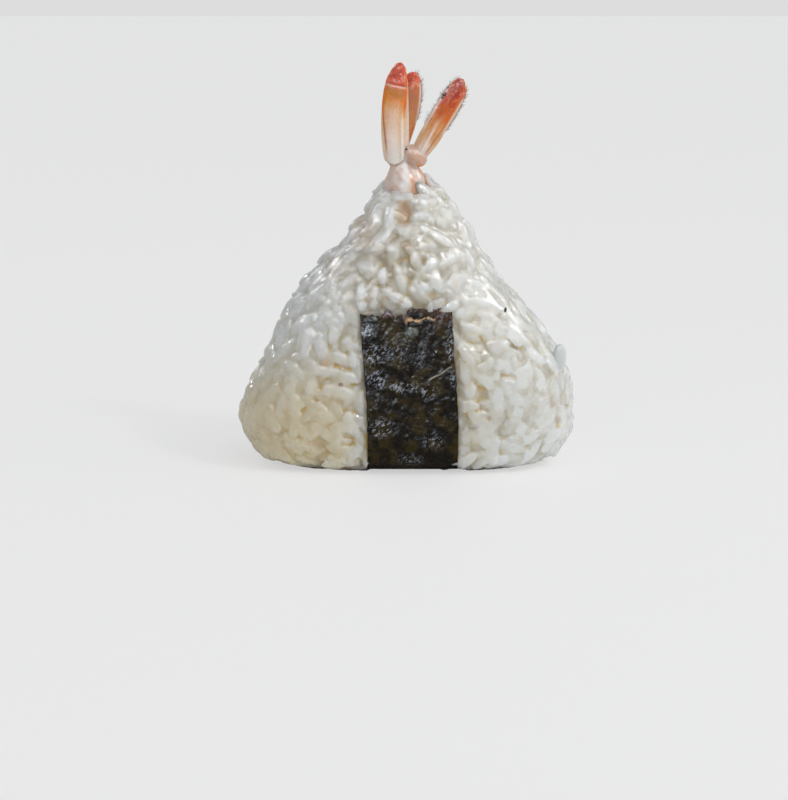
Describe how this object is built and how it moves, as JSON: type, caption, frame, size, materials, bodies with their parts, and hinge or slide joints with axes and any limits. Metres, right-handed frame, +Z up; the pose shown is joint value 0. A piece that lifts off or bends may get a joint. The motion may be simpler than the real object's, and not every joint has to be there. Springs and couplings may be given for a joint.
{
  "type": "prawn onigiri rice ball",
  "caption": "Hand-pressed triangle of cooked rice, with a strip of nori folded under it and a cooked prawn's tail standing out of the peak.",
  "frame": {"origin": "on the surface that the part rests on, under the middle of its bounding box", "axes": "+Z up along the tail, -Y the broad face with the nori's torn end, +X to the right of that face"},
  "size_m": [0.0813, 0.0402, 0.0973],
  "materials": {
    "rice": "cooked short-grain rice, moist and slightly see-through, with a soft gloss",
    "nori": "roasted seaweed sheet, wrinkled by the rice's steam, satin with sharp glints",
    "prawn_flesh": "cooked prawn flesh and thin shell, pale pink, moist",
    "prawn_shell": "cooked prawn tail shell, red at the tips, orange, then tan at the root, glossy"
  },
  "bodies": {
    "root": {"rice": "rice", "nori": "nori", "prawn_body": "prawn_flesh", "tail_spine": "prawn_shell", "tail_blade_left_outer": "prawn_shell", "tail_blade_left_inner": "prawn_shell", "tail_blade_right_inner": "prawn_shell", "tail_blade_right_outer": "prawn_shell"}
  },
  "joints": []
}
